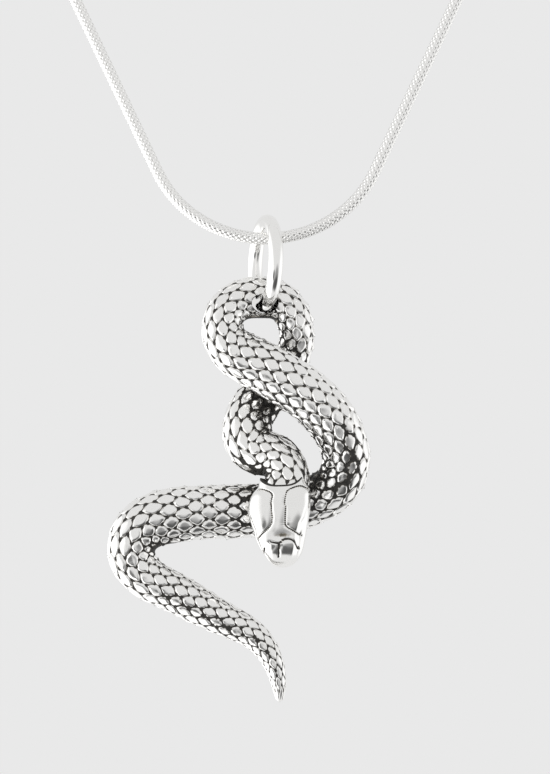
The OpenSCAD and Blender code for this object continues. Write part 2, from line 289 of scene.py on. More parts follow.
def silver_material(name, smoothest, roughest, grain, scratch_depth, black=None):
    """Polished silver; black is the level of the patina, the shelter, which paints shade in closed
    places, and the rise in the corners.
    """
    material = bpy.data.materials.new(name)
    material.use_nodes = True
    tree = material.node_tree
    shader = tree.nodes["Principled BSDF"]
    vector = add_node(tree, "ShaderNodeTexCoord").outputs["Object"]
    marks = add_node(tree, "ShaderNodeGroup", node_tree=MARKS)
    set_inputs(tree, marks, {
        "Vector": vector, "Grain": grain, "Smoothest": smoothest, "Roughest": roughest})
    bump = add_node(tree, "ShaderNodeBump", {
        "Strength": BUMP_STRENGTH, "Distance": scratch_depth, "Height": marks.outputs["Height"]})
    set_inputs(tree, shader, {
        "Base Color": (*SILVER, 1), "Metallic": 1.0, "Roughness": marks.outputs["Roughness"],
        "Normal": bump.outputs["Normal"]})
    if black is None:
        return material
    inputs = dict(zip(("Level", "Shelter", "Corner Rise"), black), Vector=vector)
    for label in ("Relief", "Reach", "Corner", "Kept"):
        reading = add_node(tree, "ShaderNodeAttribute", attribute_name=label.lower())
        inputs[label] = reading.outputs["Fac"]
    patina_and_shade = add_node(tree, "ShaderNodeGroup", node_tree=PATINA_AND_SHADE)
    set_inputs(tree, patina_and_shade, inputs)
    colour = add_node(tree, "ShaderNodeValToRGB", {"Fac": patina_and_shade.outputs["Black"]})
    colour.color_ramp.elements[0].color = (*SILVER, 1)
    colour.color_ramp.elements[1].color = (*SULPHIDE, 1)
    colour.color_ramp.elements.new(THIN_DIP).color = (*TARNISH, 1)
    rough = add_node(tree, "ShaderNodeMix", {
        "Factor": patina_and_shade.outputs["Black"], "A": marks.outputs["Roughness"],
        "B": BLACK_ROUGHNESS}, data_type="FLOAT")
    metal = add_node(tree, "ShaderNodeMapRange", {
        "Value": patina_and_shade.outputs["Black"], "To Min": 1.0, "To Max": BLACK_METALLIC})
    set_inputs(tree, shader, {
        "Base Color": colour.outputs["Color"], "Metallic": metal.outputs["Result"],
        "Roughness": rough.outputs["Result"]})
    return material


# The body's black: patina in the grooves, and painted shade between the coils.
scale_silver = silver_material(
    "blackened cast silver with painted shade", smoothest=0.1, roughest=0.22, grain=1800, scratch_depth=5e-6,
    black=(0.22, 1.6, 0.38))
# The head's black: patina in the engraved lines, and painted shade where it lies close to the
# coils.
head_silver = silver_material(
    "engraved silver with painted shade", smoothest=0.08, roughest=0.17, grain=1500, scratch_depth=3e-6,
    black=(0.55, 0.3, 0))
wire_silver = silver_material(
    "drawn silver wire", smoothest=0.03, roughest=0.1, grain=2500, scratch_depth=2e-6)
# The chain's black lies in the low skin between its beads: painted shade in the gaps.
chain_silver = silver_material(
    "bright chain silver", smoothest=0.12, roughest=0.22, grain=4000, scratch_depth=2e-6,
    black=(0.2, 0.5, 0))
fitting_silver = silver_material(
    "silver fittings", smoothest=0.08, roughest=0.2, grain=2500, scratch_depth=4e-6)
print("materials:", len(bpy.data.materials))

# %% [markdown]
# ## The snake's path
# The body is a round rod that was bent into shape before its scales were cut. Its middle line
# is a B-spline over a short table of places, each with the body's half width and how deep it
# is for its width. The table is the one that the solid has, measured from the chain's lowest
# point, in millimetres.

# %% Table of the body and the spline over it
# Columns: x, z, y, half width across the picture, depth over width.
BODY_PATH = [
    (2.0, -24.7, -1.75, 2.35, 0.82),  # collar, behind the head
    (2.2, -23.85, -1.35, 2.3, 0.84),
    (1.9, -22.7, -0.85, 2.3, 0.86),
    (0.95, -21.7, -0.25, 2.3, 0.87),
    (-0.15, -21.45, 0.1, 2.4, 0.86),  # neck, bottom of the small lobe
    (-1.35, -21.05, 0.4, 2.65, 0.82),
    (-1.85, -20.0, 0.65, 2.65, 0.8),
    (-1.9, -18.85, 0.95, 2.6, 0.79),  # left of the lobe
    (-1.75, -17.8, 1.35, 2.5, 0.78),
    (-1.2, -16.9, 1.8, 2.5, 0.76),
    (-0.4, -16.0, 2.25, 2.45, 0.73),
    (0.45, -15.0, 2.65, 2.35, 0.7),
    (1.3, -13.8, 2.8, 2.1, 0.75),  # behind the wide band
    (2.15, -12.55, 2.45, 1.9, 0.82),
    (2.95, -11.2, 1.75, 1.8, 0.9),
    (3.2, -9.65, 1.15, 1.8, 0.95),  # right side of the top loop
    (2.9, -8.1, 0.75, 1.85, 0.92),
    (2.2, -6.75, 0.45, 1.95, 0.86),
    (0.85, -5.95, 0.25, 2.15, 0.77),
    (-0.55, -5.9, 0.15, 2.2, 0.69),  # top of the loop, flattened for the bail hole
    (-1.95, -5.95, -0.15, 2.15, 0.77),
    (-3.3, -6.5, -0.45, 2.1, 0.86),
    (-4.2, -7.55, -0.75, 2.1, 0.92),
    (-4.4, -8.85, -0.95, 2.15, 0.92),  # left side of the top loop
    (-4.15, -10.25, -1.1, 2.35, 0.92),
    (-3.05, -11.45, -1.25, 2.5, 0.9),
    (-1.7, -12.2, -1.35, 2.65, 0.86),
    (-0.15, -12.9, -1.4, 2.65, 0.83),  # wide band across the front
    (1.4, -13.85, -1.4, 2.7, 0.82),
    (2.9, -14.8, -1.35, 2.7, 0.83),
    (4.35, -15.8, -1.1, 2.7, 0.86),
    (5.75, -17.1, -0.65, 2.7, 0.95),
    (6.9, -18.6, -0.15, 2.65, 1.0),
    (7.8, -20.35, 0.35, 2.55, 1.0),
    (8.15, -22.1, 0.95, 2.5, 1.0),  # right of the large bend
    (7.8, -23.85, 1.35, 2.5, 1.0),
    (6.75, -25.2, 1.7, 2.5, 1.0),
    (5.15, -26.15, 2.0, 2.55, 0.82),
    (3.3, -26.7, 2.05, 2.65, 0.8),
    (1.4, -27.05, 2.0, 2.7, 0.8),  # behind the head
    (-0.6, -27.2, 1.85, 2.75, 0.8),
    (-2.6, -27.35, 1.45, 2.8, 0.8),
    (-4.6, -27.35, 1.05, 2.8, 0.78),
    (-6.65, -27.4, 0.7, 2.8, 0.77),
    (-8.5, -27.55, 0.4, 2.85, 0.74),
    (-10.4, -27.85, 0.15, 2.85, 0.74),
    (-12.1, -28.5, 0.0, 2.75, 0.74),
    (-13.3, -29.8, -0.15, 2.65, 0.74),
    (-13.6, -31.5, -0.1, 2.5, 0.74),  # left bend
    (-12.95, -33.05, -0.1, 2.35, 0.74),
    (-11.65, -34.25, -0.05, 2.2, 0.74),
    (-9.7, -35.1, 0.0, 2.1, 0.74),
    (-8.0, -36.05, 0.0, 2.05, 0.8),
    (-6.3, -37.0, 0.0, 1.95, 0.8),
    (-4.6, -37.9, 0.0, 1.8, 0.88),
    (-2.9, -38.65, -0.05, 1.68, 0.88),
    (-1.4, -39.45, -0.1, 1.52, 0.88),
    (-0.22, -40.6, -0.15, 1.35, 0.9),
    (0.62, -42.05, -0.2, 1.15, 0.92),
    (1.12, -43.5, -0.2, 0.95, 0.95),
    (1.35, -45.0, -0.2, 0.75, 1.0),
    (1.35, -46.15, -0.2, 0.4, 1.0),  # tip of the tail
]
BODY_END = len(BODY_PATH) - 1
# Steps along t for reading a direction, and for going straight on before the collar.
PROBE = 0.01
START_PROBE = 0.05


def control(k):
    if k < 0:
        return [2 * a - b for a, b in zip(BODY_PATH[0], BODY_PATH[1])]
    if k > BODY_END:
        return [2 * a - b for a, b in zip(BODY_PATH[-1], BODY_PATH[-2])]
    return BODY_PATH[k]


def body_at(t):
    """Place and section of the body at t, which runs from 0 at the collar to BODY_END."""
    if t < 0:
        (first, *size), (later, *_) = body_at(0.0), body_at(START_PROBE)
        return (first + t / START_PROBE * (later - first), *size)
    k = min(floor(t), BODY_END - 1)
    f = t - k
    weights = (
        (1 - f) ** 3, 3 * f ** 3 - 6 * f ** 2 + 4, -3 * f ** 3 + 3 * f ** 2 + 3 * f + 1, f ** 3)
    rows = [control(k + step) for step in (-1, 0, 1, 2)]
    x, z, y, half_width, depth = (
        sum(w * row[column] for w, row in zip(weights, rows)) / 6 for column in range(5))
    return Vector((x, y, z)), half_width, depth


def body_frame(t):
    """Middle point in mm from the chain's lowest point, and the directions of the section."""
    middle, half_width, depth = body_at(t)
    along = (body_at(t + PROBE)[0] - body_at(t - PROBE)[0]).normalized()
    across = along.cross(Vector((0, 1, 0))).normalized()
    return middle, along, across, across.cross(along), half_width, depth


# %% [markdown]
# ## Tubes
# The body, the head and the chain all start as a straight tube, because on a straight tube
# every row is the same. A flat grid is rolled up and its seam is joined. The tube is open until
# its ends are turned in and closed on a point.

# %% Helpers for tubes
SEAM_X = 0.9999
SEAM_GAP = 0.01


def straight_tube(columns, rows):
    """Open tube of unit radius and unit steps, rolled up from a flat grid."""
    tube = bmesh.new()
    bmesh.ops.create_grid(tube, x_segments=columns, y_segments=rows, size=1)
    seam = [point for point in tube.verts if abs(point.co.x) > SEAM_X]
    for point in tube.verts:
        turn, step = (point.co.x + 1) * pi, (point.co.y + 1) / 2 * rows
        point.co = (cos(turn), sin(turn), step)
    bmesh.ops.remove_doubles(tube, verts=seam, dist=SEAM_GAP)
    return tube


def places_on(tube):
    """Angle round the tube and step along it, for every point, as two arrays."""
    spots = np.array([point.co[:] for point in tube.verts])
    return np.arctan2(spots[:, 1], spots[:, 0]), np.round(spots[:, 2], 3)


def close_end(tube, near, reach, target, shrink):
    """Turn the open rim near a place inwards and close it on a point."""
    rim = [edge for edge in tube.edges if edge.is_boundary
           and (edge.verts[0].co - near).length < reach]
    grown = bmesh.ops.extrude_edge_only(tube, edges=rim)["geom"]
    for point in (part for part in grown if isinstance(part, bmesh.types.BMVert)):
        point.co = target + (point.co - target) * shrink
    rim = [part for part in grown if isinstance(part, bmesh.types.BMEdge) and part.is_boundary]
    grown = bmesh.ops.extrude_edge_only(tube, edges=rim)["geom"]
    points = [part for part in grown if isinstance(part, bmesh.types.BMVert)]
    bmesh.ops.pointmerge(tube, verts=points, merge_co=target)


# %% [markdown]
# ## Rows of scales
# The scales are about as long as they are wide on the thick coils and a little smaller on the
# tail. Each step along the body is one row, so the rows are found by walking along the spline.

# %% Rows along the body
FIRST_ROW = -1.3
ROW_LEAST = 0.78
ROW_GROWTH = 0.185


def row_stations():
    t, stations = FIRST_ROW, []
    while t < BODY_END:
        stations.append(t)
        speed = (body_at(t + PROBE)[0] - body_at(t - PROBE)[0]).length / (2 * PROBE)
        t += (ROW_LEAST + ROW_GROWTH * body_at(t)[1]) / speed
    stations[-1] = BODY_END
    return stations


STATIONS = row_stations()
ROWS = len(STATIONS) - 1


def station(row):
    k = min(max(floor(row), 0), ROWS - 1)
    return STATIONS[k] + (row - k) * (STATIONS[k + 1] - STATIONS[k])


def within_stretch(t, stretch):
    """1 on a stretch of the body, 0 beyond it, for its four places: start, full, last and end."""
    start, full, last, end = stretch
    return float(smoothstep(start, full, t) * (1 - smoothstep(last, end, t)))


print("rows of scales:", ROWS)

# %% [markdown]
# ## Cutting the scales
# The scales start on a straight rod of even thickness, because there every scale has the same
# size and operators can cut them all at once. Every second edge along the rod is dissolved,
# and the points move up and down in turn, which leaves six-sided scales whose points lie
# between their neighbours. Insets raise each scale over its groove. A little unevenness, from
# a fixed seed, keeps the hand of the carver in it.

# %% The rod of scales, straight, in mm
SCALES_ROUND = 12
COLUMNS = 2 * SCALES_ROUND
COLUMN_WIDTH = 0.675
ROW_LENGTH = 1.3
ROD_R = COLUMNS * COLUMN_WIDTH / (2 * pi)
POINTED = 0.31
UNEVEN = 0.11
CARVER = random.Random(7)
# Insets from the groove inwards: width, rise, and how far out of the groove it is.
SCALE_STEPS = [(0.085, 0.13, 0.6), (0.15, 0.09, 1.0)]
TIP_CREASE = 0.8
# How far a scale may stand off the rod in mm, and lean each way, as a slope.
STAND_OFF = (-0.03, 0.01)
LEAN = 0.13
# On the right strand of the top loop the scales stand up a little at their lower ends.
STRAND_TILT = 0.36
STRAND_STRETCH = (12.5, 14, 17, 18.5)
SCALE_TOP = sum(rise for width, rise, height in SCALE_STEPS)

rod = straight_tube(COLUMNS, ROWS)
corner = rod.verts.layers.float.new("corner")
turns, steps = places_on(rod)
column_of = np.round(turns / (2 * pi) * COLUMNS).astype(int) % COLUMNS
row_column = {
    point: (int(row), int(column)) for point, row, column in zip(rod.verts, steps, column_of)}
spare = []
for edge in rod.edges:
    (row, column), (other_row, other_column) = (row_column[point] for point in edge.verts)
    if column == other_column and (min(row, other_row) + column) % 2 == 1:
        spare.append(edge)
bmesh.ops.dissolve_edges(rod, edges=spare, use_verts=False)
for point in rod.verts:
    row, column = row_column[point]
    way = 1 if (row + column) % 2 == 0 else -1
    point[corner] = way
    angle = column * 2 * pi / COLUMNS
    if 0 < row < ROWS:
        angle += CARVER.uniform(-UNEVEN, UNEVEN) / ROD_R
        row += way * POINTED + CARVER.uniform(-UNEVEN, UNEVEN) / ROW_LENGTH
    point.co = (ROD_R * cos(angle), ROD_R * sin(angle), row * ROW_LENGTH)
check_skin("open rod", rod)
row_of = rod.faces.layers.int.new("row")
for scale in rod.faces:
    scale[row_of] = min(max(int(scale.calc_center_median().z / ROW_LENGTH), 0), ROWS - 1)
print("scales:", len(rod.faces))

# %% Raise the scales over their grooves
relief = rod.verts.layers.float.new("relief")
crease = rod.verts.layers.float.new("crease_vert")
scales = list(rod.faces)
for width, rise, height in SCALE_STEPS:
    bmesh.ops.inset_individual(
        rod, faces=scales, thickness=width, depth=rise, use_even_offset=True)
    for scale in scales:
        along_rod = [point.co.z for point in scale.verts]
        for point in scale.verts:
            point[relief] = height
            point[crease] = TIP_CREASE if point.co.z in (min(along_rod), max(along_rod)) else 0
for scale in scales:
    middle = scale.calc_center_median()
    out = Vector((middle.x, middle.y, 0)).normalized()
    side = out.cross(Vector((0, 0, 1)))
    stand_off = CARVER.uniform(*STAND_OFF)
    sideways = CARVER.uniform(-LEAN, LEAN)
    lengthways = CARVER.uniform(-LEAN, LEAN)
    lengthways -= STRAND_TILT * within_stretch(station(middle.z / ROW_LENGTH), STRAND_STRETCH)
    for point in scale.verts:
        away = point.co - middle
        point.co += out * (stand_off + sideways * away.dot(side) + lengthways * away.z)
print("points on the rod:", len(rod.verts))

# %% [markdown]
# ## Bending the rod
# The rod is now laid along the path. A point's height along the rod gives its row, its angle
# gives its place round the section, and its distance from the rod's skin becomes relief on the
# body. On thin stretches the carver kept the scales on the front large, so the columns there
# are spread towards the viewer. The inside of the top loop, under the hole, has no scales.

# %% Bend the rod along the snake's path
WIDEST = 2.85
LOOP_MIDDLE = Vector((-0.7, 0, -9.4))
LOOP_STRETCH = (15.5, 17.5, 21.0, 23.0)
LOOP_INSIDE = (0.6, 0.85)
# Share of a row's length that is left on the inside of a bend: no scales, and all of them.
CROWDED = 0.2
ROOMY = 0.5
BEND_PROBE = 0.1
PLAIN_DEPTH = 0.12
LEAST_SIZE = 0.3
# How much wider the columns are at the front than the even share: least, growth and most.
SPREAD_LEAST = -0.08
SPREAD_GROWTH = 0.84
SPREAD_MOST = 0.42
# How the bare places take the black: the loop's underside is mottled, tight bends are dark.
UNDERSIDE_RELIEF = 0.5
CROWDED_RELIEF = 0.1


def spread(half_width):
    return min(SPREAD_LEAST + SPREAD_GROWTH * (1 - half_width / WIDEST), SPREAD_MOST)


def plain_inside(t, middle, side):
    """1 on the bare inside of the top loop, 0 elsewhere."""
    within = within_stretch(t, LOOP_STRETCH)
    if within == 0:
        return 0.0
    inwards = ((LOOP_MIDDLE - middle) * Vector((1, 0, 1))).normalized()
    return within * float(smoothstep(*LOOP_INSIDE, side.dot(inwards)))


def crowding(t, middle, along, skin):
    """Length of a row on this side of the body, against its length on the middle line."""
    later_middle, later_along = body_frame(t + BEND_PROBE)[:2]
    bend = (later_along - along) / (later_middle - middle).length
    return 1 - skin.dot(bend)


def bent(point):
    """Place on the snake in metres of a point on the rod, how bare it is, and its relief there."""
    t = station(point.z / ROW_LENGTH)
    middle, along, across, back, half_width, depth = body_frame(t)
    turn = atan2(point.y, point.x)
    turn += spread(half_width) * sin(turn) - pi / 2
    size = max(half_width / WIDEST, LEAST_SIZE)
    skin = half_width * (across * cos(turn) + back * depth * sin(turn))
    out = (across * depth * cos(turn) + back * sin(turn)).normalized()
    crowded = float(1 - smoothstep(CROWDED, ROOMY, crowding(t, middle, along, skin)))
    within_loop = plain_inside(t, middle, out)
    plain = max(within_loop, crowded)
    height = (Vector((point.x, point.y)).length - ROD_R - SCALE_TOP) * size
    height = height * (1 - plain) - PLAIN_DEPTH * plain
    bare_relief = UNDERSIDE_RELIEF if within_loop > crowded else CROWDED_RELIEF
    return CHAIN_LOW + MM * (middle + skin + height * out), plain, bare_relief


for point in rod.verts:
    point.co, plain, bare_relief = bent(point.co)
    point[relief] += (bare_relief - point[relief]) * plain
    point[corner] *= 1 - plain
check_skin("bent rod", rod)

# %% Close the two ends
# Row of the rim, the t of the point that closes it, and how far the rim shrinks on its way.
BODY_ENDS = [(0, -1.5, 0.8), (ROWS, BODY_END + 0.2, 0.5)]
RIM_REACH = 4 * MM
TIP_RUBBED = 0.55
TIP_RELIEF = 0.85

for end_row, t_target, shrink in BODY_ENDS:
    near = CHAIN_LOW + MM * body_at(STATIONS[end_row])[0]
    close_end(rod, near, RIM_REACH, CHAIN_LOW + MM * body_at(t_target)[0], shrink)
# The tip of the tail is rubbed bright.
tail_tip = CHAIN_LOW + MM * body_at(BODY_END)[0]
for point in rod.verts:
    if (point.co - tail_tip).length < TIP_RUBBED * MM:
        point[relief] = max(point[relief], TIP_RELIEF)
check_skin("body", rod)

# %% [markdown]
# ## Head
# The head is the end of the same casting, seen from above: a flat-topped wedge with a rounded
# snout. A tube is drawn over a short table of sections. It ends at the back in a collar that
# stands over the first scales. The carver's lines are cut with a graver: two lines set off the
# crown plates, a curved one lies over the snout and a short one parts it.

# %% Head sections and the graver's lines
# Columns: z, x, y, half width, half depth. Millimetres from the chain's lowest point.
HEAD_SECTIONS = np.array([
    (-32.83, 1.66, -1.98, 0.02, 0.02),
    (-32.80, 1.66, -1.98, 0.45, 0.16),
    (-32.60, 1.66, -2.02, 0.98, 0.42),
    (-32.20, 1.66, -2.14, 1.46, 0.81),
    (-31.60, 1.66, -2.30, 1.87, 1.20),
    (-30.90, 1.55, -2.41, 2.24, 1.44),
    (-30.00, 1.45, -2.42, 2.53, 1.57),
    (-29.10, 1.42, -2.40, 2.72, 1.66),
    (-28.30, 1.32, -2.40, 2.95, 1.74),
    (-27.50, 1.28, -2.40, 3.15, 1.80),
    (-26.80, 1.32, -2.38, 3.20, 1.84),
    (-26.00, 1.42, -2.33, 3.08, 1.87),
    (-25.30, 1.60, -2.22, 2.88, 1.90),
    (-24.85, 1.78, -2.05, 2.64, 1.88),
    (-24.30, 1.68, -1.78, 2.42, 1.86),
    (-23.40, 1.66, -1.28, 2.16, 1.86),
])
HEAD_COLUMNS = 180
HEAD_ROWS = 150
HEAD_SQUARENESS = 0.7
# The collar's rim is a shallow arch in the picture, in mm.
RIM_Z = -24.55
RIM_ARCH = 0.16
RIM_SPAN = (-0.7, 3.9)
RIM_MIDDLE = 1.3
# Lines in the plane of the picture: x and z in mm.
GRAVER_LINES = [
    # left edge of the crown plates
    [(-1.27, -25.15), (-0.81, -24.98), (-0.1, -25.07), (0.53, -25.4), (0.48, -26.4),
     (0.55, -27.32), (0.53, -28.32), (0.15, -28.9), (-0.35, -29.32), (-0.89, -29.86)],
    # right edge of the crown plates
    [(4.23, -24.9), (3.57, -24.65), (2.82, -24.78), (2.07, -25.23), (1.9, -25.73),
     (1.94, -26.82), (1.94, -27.82), (1.94, -28.48), (2.73, -29.07), (3.82, -29.57)],
    # over the snout
    [(0.48, -30.19), (1.32, -30.28), (1.82, -29.94), (2.57, -29.98), (3.07, -30.48),
     (3.48, -30.9)],
    # down the middle of the snout
    [(1.25, -30.32), (1.25, -31.65)],
    # beside the snout
    [(-0.25, -30.85), (-0.33, -31.5)],
    # beside the jaw
    [(4.45, -25.75), (4.47, -27.0), (4.4, -28.25)],
]
PLATE_LINES = 2
LINE_WIDTH = 0.1
LINE_DEPTH = 0.1
PILLOW_EDGE = 0.4
PILLOW_HEIGHT = 0.07
# The right cheek falls away beyond a line from collar to snout: z and x in mm.
CHEEK_EDGE = [
    (-32.5, 2.1), (-31.5, 2.45), (-30.5, 2.65), (-29.5, 2.75), (-28.8, 2.95), (-28.2, 3.1),
    (-27.7, 3.45), (-26.2, 4.0), (-24.0, 4.6)]
CHEEK_WIDTH = 0.9
CHEEK_DROP = 0.3
# The left side of the snout is a little lower.
SIDE_EDGE = 0.7
SIDE_WIDTH = 0.8
SIDE_DROP = 0.08
SIDE_TOP = (30.1, 30.6)
# Soft rises and dips of the head: height, then x, z, width and height in the picture, in mm.
SWELLS = [
    (-0.16, 1.75, -29.65, 0.95, 0.5),
    (0.08, 0.5, -31.45, 0.6, 0.55),
    (0.1, 1.75, -30.25, 0.9, 0.45),
    (0.1, 3.2, -27.6, 0.7, 1.0),
]
# Above the snout the polish left some of the black.
MOTTLED = (0.5, 1.7, -29.5, 1.45, 0.5)
# The lines fade where the head turns away from the viewer.
FRONT_EDGE = 1.5
# The last of the head, beyond the collar's rim, is black.
COLLAR_BLACK = (0.975, 0.99)
COLLAR_MIDDLE = CHAIN_LOW + MM * Vector((1.9, -1.6, -24.5))
COLLAR_SHRINK = 0.86
SNOUT_REACH = 0.5 * MM
SNOUT_SHRINK = 0.5


def lengths_along(rows):
    return np.concatenate([[0], np.cumsum(np.linalg.norm(np.diff(rows, axis=0), axis=1))])


def smooth_through(lengths, rows, places):
    """Rows of a table at given lengths, on one smooth curve through all of them."""
    slopes = np.gradient(rows, lengths, axis=0)
    k = np.clip(np.searchsorted(lengths, places) - 1, 0, len(lengths) - 2)
    span = (lengths[k + 1] - lengths[k])[:, None]
    f = (np.clip(places, lengths[0], lengths[-1]) - lengths[k])[:, None] / span
    return ((2 * f ** 3 - 3 * f ** 2 + 1) * rows[k] + (f ** 3 - 2 * f ** 2 + f) * span * slopes[k]
            + (3 * f ** 2 - 2 * f ** 3) * rows[k + 1] + (f ** 3 - f ** 2) * span * slopes[k + 1])


def distance_to_line(points, line, count=40):
    """Distance in the picture's plane from each point to a smooth line."""
    line = np.array(line, dtype=float)
    lengths = lengths_along(line)
    spots = smooth_through(lengths, line, np.linspace(0, lengths[-1], count))
    return np.min([np.linalg.norm(points - spot, axis=1) for spot in spots], axis=0)


def squared(values):
    return np.sign(values) * np.abs(values) ** HEAD_SQUARENESS


# %% Wrap the tube on the head's sections and cut the lines
def dome(x, z, height, at_x, at_z, wide, high):
    return height * np.exp(-((x - at_x) / wide) ** 2 - ((z - at_z) / high) ** 2)


HEAD_LENGTHS = lengths_along(HEAD_SECTIONS[:, [0, 3]])


def head_skin(turn, share, lift=0.0):
    """Points on the head: angle from across the head, and share of the way from snout to collar."""
    at_collar = HEAD_SECTIONS[-2]
    rim_x = at_collar[1] - at_collar[3] * np.cos(turn)
    rim_z = RIM_Z + RIM_ARCH * (np.clip(rim_x, *RIM_SPAN) - RIM_MIDDLE) ** 2
    reach = np.interp(rim_z, HEAD_SECTIONS[:, 0], HEAD_LENGTHS)
    z, x_mid, y_mid, half_w, half_d = smooth_through(HEAD_LENGTHS, HEAD_SECTIONS, share * reach).T
    x = x_mid - (half_w + lift) * squared(np.cos(turn))
    y = y_mid + (half_d + lift) * squared(np.sin(turn))
    return x, y, z


head = straight_tube(HEAD_COLUMNS, HEAD_ROWS)
head_turns, head_steps = places_on(head)
shares = head_steps / HEAD_ROWS
x, y, z = head_skin(head_turns, shares)
front = np.clip(-np.sin(head_turns) * FRONT_EDGE, 0, 1)
flat = np.stack([x, z], axis=1)
line_gaps = [distance_to_line(flat, line) for line in GRAVER_LINES]
cut = np.exp(-(np.min(line_gaps, axis=0) / LINE_WIDTH) ** 2)
pillow = 1 - np.exp(-(np.min(line_gaps[:PLATE_LINES], axis=0) / PILLOW_EDGE) ** 2)
swell = (
    PILLOW_HEIGHT * pillow
    - CHEEK_DROP * smoothstep(0, CHEEK_WIDTH, x - np.interp(z, *zip(*CHEEK_EDGE)))
    - SIDE_DROP * smoothstep(0, SIDE_WIDTH, SIDE_EDGE - x) * smoothstep(*SIDE_TOP, -z))
for form in SWELLS:
    swell += dome(x, z, *form)
lift = front * (swell - LINE_DEPTH * cut) - PILLOW_HEIGHT
x, y, z = head_skin(head_turns, shares, lift)
for point, *spot in zip(head.verts, x, y, z):
    point.co = CHAIN_LOW + MM * Vector(spot)
relief = head.verts.layers.float.new("relief")
masks = [front * cut, smoothstep(*COLLAR_BLACK, shares), dome(x, z, *MOTTLED)]
for point, mask in zip(head.verts, np.max(masks, axis=0)):
    point[relief] = 1 - mask

snout_tip = CHAIN_LOW + MM * Vector(HEAD_SECTIONS[0, [1, 2, 0]])
close_end(head, snout_tip, SNOUT_REACH, snout_tip, SNOUT_SHRINK)
close_end(head, COLLAR_MIDDLE, RIM_REACH, COLLAR_MIDDLE, COLLAR_SHRINK)
check_skin("head", head)

# %% [markdown]
# ## Closed places: patina and painted shade
# A mop polishes what it can touch, and little light falls into closed places. For each point,
# rays in evenly spread directions tell how much of its surroundings is open. Points deep
# between two coils see few open directions, and there the black stays on the whole scale, as
# patina and as painted shade.

# %% Share of open directions at each point
REACH_RAYS = 32
REACH_LENGTH = 5.0 * MM
REACH_START = 0.15 * MM
LEAST_FACING = 0.1
GOLDEN_TURN = pi * (3 - 5 ** 0.5)
# Beyond this many squared radii a place leaves no mark.
PAINT_SPOT_LIMIT = 6
# Painted shade where the amount is positive, and painted dark reflections along the streaks;
# painted light where it is negative: x and z in the picture, radius in mm, and amount.
PAINTED_SHADE_AND_LIGHT = [
    # lower edge of the small lobe
    (-3.0, -22.2, 0.6, 0.5), (-2.2, -22.8, 0.6, 0.75), (-1.2, -23.1, 0.6, 0.8),
    (-0.3, -23.2, 0.6, 0.75),
    # behind the wide band, and the right edge of the neck
    (0.7, -16.9, 1.2, 0.25), (3.2, -20.4, 0.5, 0.5), (3.9, -21.9, 0.5, 0.6),
    (4.3, -23.4, 0.5, 0.6),
    # inside of the right bend, painted shade, and its streak, a painted dark reflection
    (4.9, -23.7, 0.9, 0.4), (8.0, -18.9, 0.5, 0.6), (8.2, -19.8, 0.6, 0.7),
    (8.5, -20.8, 0.75, 0.8), (8.7, -21.9, 0.85, 0.85), (8.5, -23.0, 0.85, 0.85),
    (8.0, -24.1, 0.85, 0.85), (7.1, -25.0, 0.75, 0.75),
    # beside the head
    (-1.9, -26.0, 0.6, 0.3), (-1.9, -28.3, 0.6, 0.3),
    # streak of the tail, a painted dark reflection
    (-9.8, -35.9, 0.6, 0.6), (-8.7, -36.3, 0.55, 0.65), (-7.6, -36.8, 0.55, 0.7),
    (-6.2, -37.6, 0.55, 0.75), (-4.9, -38.3, 0.55, 0.85), (-3.8, -38.9, 0.55, 0.85),
    (-2.6, -39.4, 0.5, 0.8), (-1.0, -40.1, 0.5, 0.75), (0.2, -41.3, 0.45, 0.7),
    (1.2, -43.3, 0.4, 0.6),
    # inside of the left bend
    (-11.5, -30.6, 0.8, 0.5), (-10.5, -30.7, 0.7, 0.7), (-9.5, -30.5, 0.6, 0.8),
    (-8.4, -30.4, 0.5, 0.6),
    # painted light: the right strand of the top loop
    (2.6, -7.4, 1.1, -0.2), (3.0, -8.8, 1.3, -0.3), (3.1, -10.2, 1.2, -0.3),
    # and the outer sides of the loop, the wide band, the left bend and the tail
    (-8.4, -9.5, 1.5, -0.15), (-7.4, -13.0, 1.6, -0.18), (-4.6, -15.3, 1.3, -0.15),
    (4.4, -13.8, 1.6, -0.16), (7.0, -15.4, 1.8, -0.2), (9.0, -17.8, 1.6, -0.2),
    (10.0, -20.6, 1.1, -0.2), (9.9, -23.0, 0.8, -0.2), (-16.9, -30.0, 1.8, -0.2),
    (-16.0, -33.4, 1.5, -0.2), (-12.5, -36.6, 0.9, -0.2), (-8.4, -38.6, 0.8, -0.2),
    (-5.2, -39.9, 0.7, -0.22), (-2.6, -41.2, 0.7, -0.22), (-0.4, -43.4, 0.8, -0.22),
    (0.9, -45.4, 0.8, -0.22),
]


def even_directions(count):
    directions = []
    for k in range(count):
        height, angle = 1 - (2 * k + 1) / count, GOLDEN_TURN * k
        radius = (1 - height * height) ** 0.5
        directions.append(Vector((radius * cos(angle), radius * sin(angle), height)))
    return directions


def measure_openness(shape, blockers):
    reach = shape.verts.layers.float.new("reach")
    shape.normal_update()
    directions = even_directions(REACH_RAYS)
    for point in shape.verts:
        start = point.co + point.normal * REACH_START
        open_share = total = 0.0
        for direction in directions:
            facing = direction.dot(point.normal)
            if facing > LEAST_FACING:
                total += facing
                hits = (solid.ray_cast(start, direction, REACH_LENGTH)[0] for solid in blockers)
                if all(hit is None for hit in hits):
                    open_share += facing
        point[reach] = open_share / total


def paint_shade_and_light(shape, places):
    """Mark how much painted shade, or painted light where the amount is negative, goes round each
    place.
    """
    kept = shape.verts.layers.float.new("kept")
    for point in shape.verts:
        spot = (point.co - CHAIN_LOW) / MM
        for x, z, radius, amount in places:
            gap = ((spot.x - x) ** 2 + (spot.z - z) ** 2) / radius ** 2
            if gap < PAINT_SPOT_LIMIT:
                here = amount * exp(-gap)
                if abs(here) > abs(point[kept]):
                    point[kept] = here


